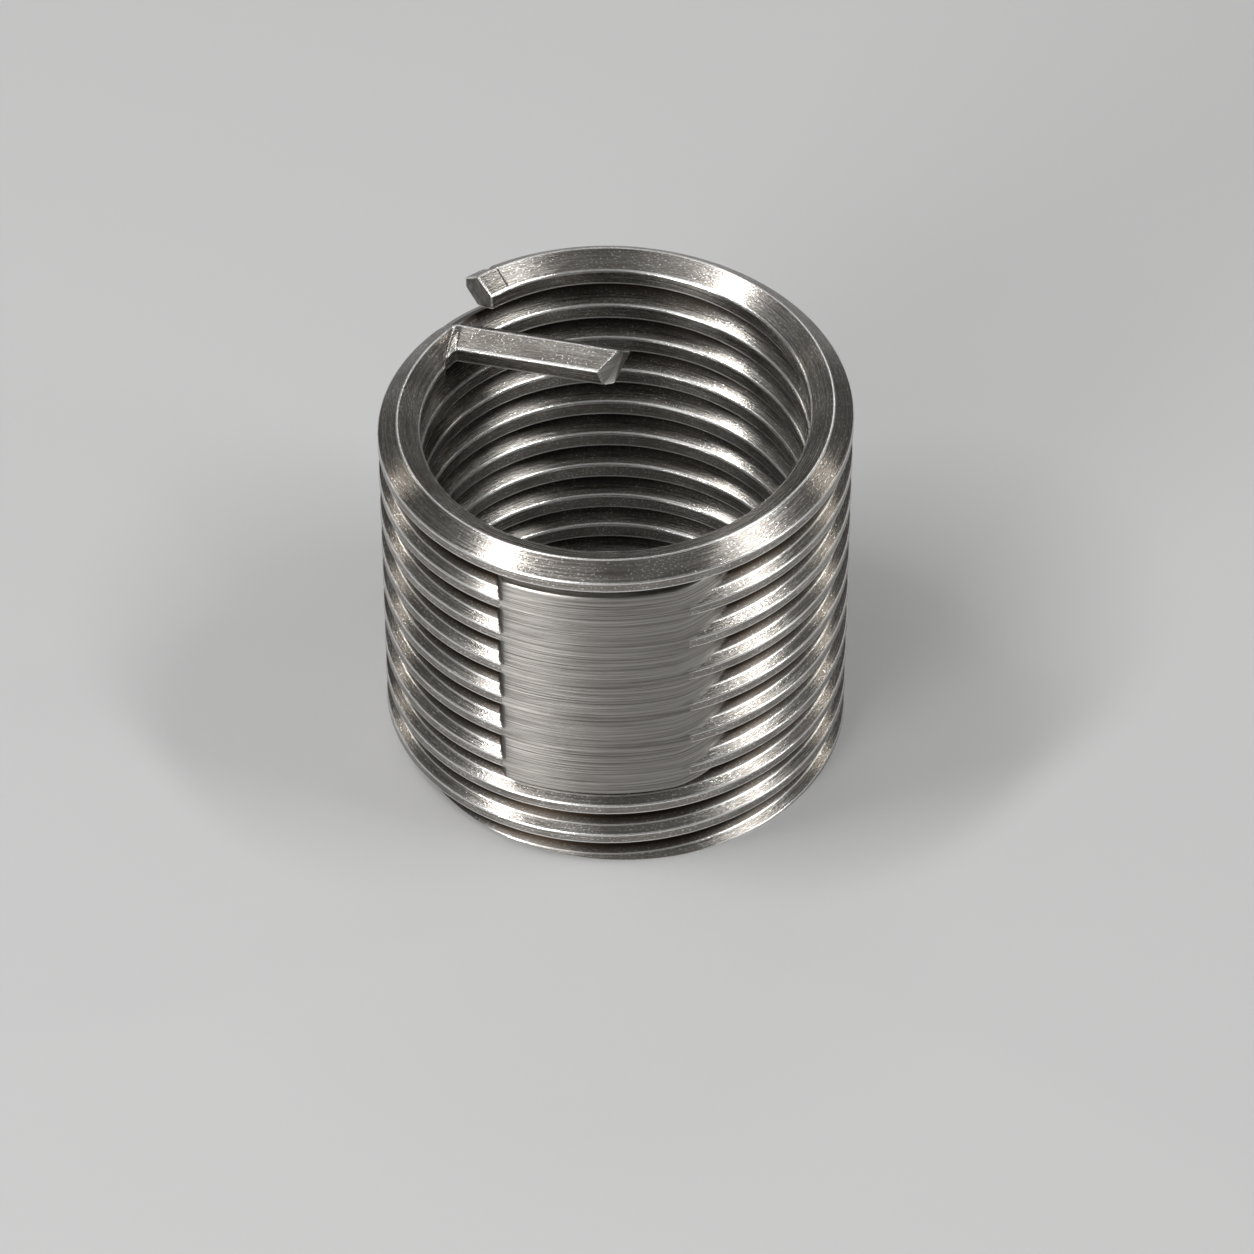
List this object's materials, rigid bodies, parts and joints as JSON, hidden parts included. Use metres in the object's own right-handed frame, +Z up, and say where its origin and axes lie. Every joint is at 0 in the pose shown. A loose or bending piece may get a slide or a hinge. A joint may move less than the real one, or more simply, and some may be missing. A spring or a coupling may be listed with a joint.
{
  "type": "helical thread insert",
  "caption": "Coiled wire insert of rolled diamond section with a driving tang across one end, for lining a tapped hole with a lasting screw thread.",
  "frame": {"origin": "on the coil's axis, in the plane of the ground end that it stands on", "axes": "+Z up the coil's axis towards the tang, -Y towards the smooth marking land, +X so that the coil climbs anticlockwise seen from above"},
  "size_m": [0.0214, 0.0214, 0.0196],
  "materials": {
    "steel": "drawn and brushed, bright on the edges"
  },
  "bodies": {
    "root": {"wire_coil": "steel"}
  },
  "joints": []
}
